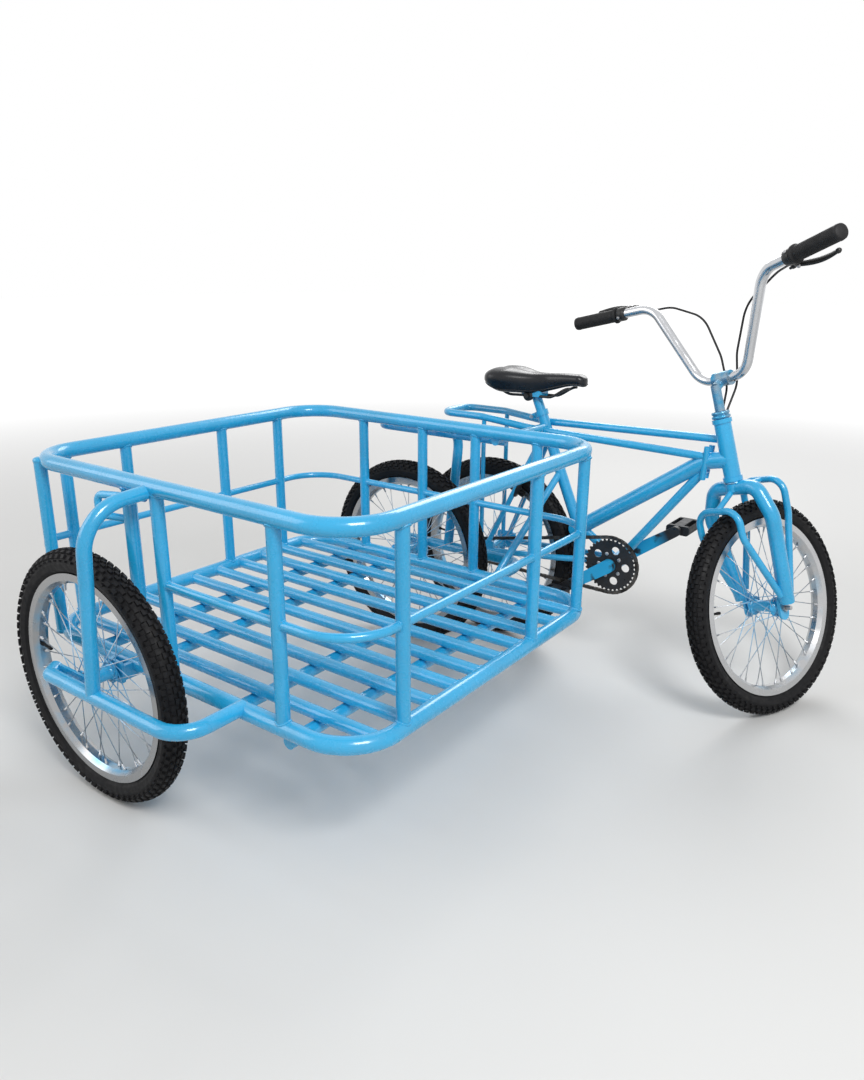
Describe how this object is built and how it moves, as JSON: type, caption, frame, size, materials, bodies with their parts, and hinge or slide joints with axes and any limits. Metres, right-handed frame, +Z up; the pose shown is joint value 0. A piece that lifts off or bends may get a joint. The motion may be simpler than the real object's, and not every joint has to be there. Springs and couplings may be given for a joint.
{
  "type": "cargo sidecar bicycle",
  "caption": "Pedal cargo bicycle with a small-wheeled steered frame and an open tube cargo cage carried beside it on its own wheels.",
  "frame": {"origin": "middle of the whole footprint at ground level, with the steering turned as parked", "axes": "+X forward along the wheels' rolling direction, +Y to the rider's left (the cage is on the right), +Z up"},
  "size_m": [1.3414, 1.4859, 1.0867],
  "materials": {
    "blue_paint": "gloss",
    "tyre_black": "matte",
    "rim_dull": "satin",
    "bar_chrome": "polished",
    "zinc_steel": "satin",
    "chain_steel": "oily",
    "black_metal": "satin",
    "saddle_black": "satin",
    "grip_black": "matte",
    "cable_black": "satin",
    "pedal_black": "matte"
  },
  "bodies": {
    "frame": {"cage_top_rail": "blue_paint", "cage_bottom_rail": "blue_paint", "cage_posts": "blue_paint", "cage_middle_rail": "blue_paint", "floor_slats": "blue_paint", "floor_cross_members": "blue_paint", "wheel_guards": "blue_paint", "cart_axle_plates": "blue_paint", "head_tube": "blue_paint", "headset_cups": "blue_paint", "main_tube": "blue_paint", "seat_tube": "blue_paint", "bracket_and_brace_tubes": "blue_paint", "top_tubes_and_carrier": "blue_paint", "rear_stays_and_dropouts": "blue_paint", "cart_links": "blue_paint", "rear_and_cart_axles": "zinc_steel", "seat_post": "blue_paint", "saddle": "saddle_black", "chain": "chain_steel", "rear_brake": "black_metal"},
    "steering": {"fork": "blue_paint", "fork_hoops": "blue_paint", "front_axle": "zinc_steel", "handlebar": "bar_chrome", "stem": "blue_paint", "grips": "grip_black", "brake_levers": "black_metal", "brake_cables": "cable_black"},
    "front_wheel": {"front_tyre": "tyre_black", "front_rim": "bar_chrome", "front_hub": "blue_paint"},
    "rear_wheel": {"rear_tyre": "tyre_black", "rear_rim": "rim_dull", "rear_hub": "blue_paint", "sprocket": "chain_steel"},
    "left_wheel": {"left_tyre": "tyre_black", "left_rim": "rim_dull", "left_hub": "blue_paint"},
    "right_wheel": {"right_tyre": "tyre_black", "right_rim": "rim_dull", "right_hub": "blue_paint"},
    "cranks": {"crankset": "black_metal"},
    "right_pedal_body": {"right_pedal": "pedal_black"},
    "left_pedal_body": {"left_pedal": "pedal_black"}
  },
  "joints": [
    {"name": "steering", "type": "hinge", "parent": "frame", "child": "steering", "pos_m": [0.43744, 0.477, 0.5509], "axis": [-0.2924, 0, 0.9563], "range_deg": [-139, 1]},
    {"name": "front_wheel_spin", "type": "hinge", "parent": "steering", "child": "front_wheel", "pos_m": [0.54105, 0.50314, 0.24634], "axis": [-0.8928, 0.3584, -0.273], "continuous": true},
    {"name": "rear_wheel_spin", "type": "hinge", "parent": "frame", "child": "rear_wheel", "pos_m": [-0.20476, 0.477, 0.255], "axis": [0, 1, 0], "continuous": true},
    {"name": "left_wheel_spin", "type": "hinge", "parent": "frame", "child": "left_wheel", "pos_m": [-0.36976, 0.301, 0.255], "axis": [0, 1, 0], "continuous": true},
    {"name": "right_wheel_spin", "type": "hinge", "parent": "frame", "child": "right_wheel", "pos_m": [-0.36976, -0.667, 0.255], "axis": [0, 1, 0], "continuous": true},
    {"name": "crank_spin", "type": "hinge", "parent": "frame", "child": "cranks", "pos_m": [0.17246, 0.477, 0.29], "axis": [0, 1, 0], "continuous": true},
    {"name": "right_pedal_spin", "type": "hinge", "parent": "cranks", "child": "right_pedal_body", "pos_m": [0.04959, 0.367, 0.20396], "axis": [0, 1, 0], "continuous": true},
    {"name": "left_pedal_spin", "type": "hinge", "parent": "cranks", "child": "left_pedal_body", "pos_m": [0.29534, 0.587, 0.37604], "axis": [0, 1, 0], "continuous": true}
  ]
}
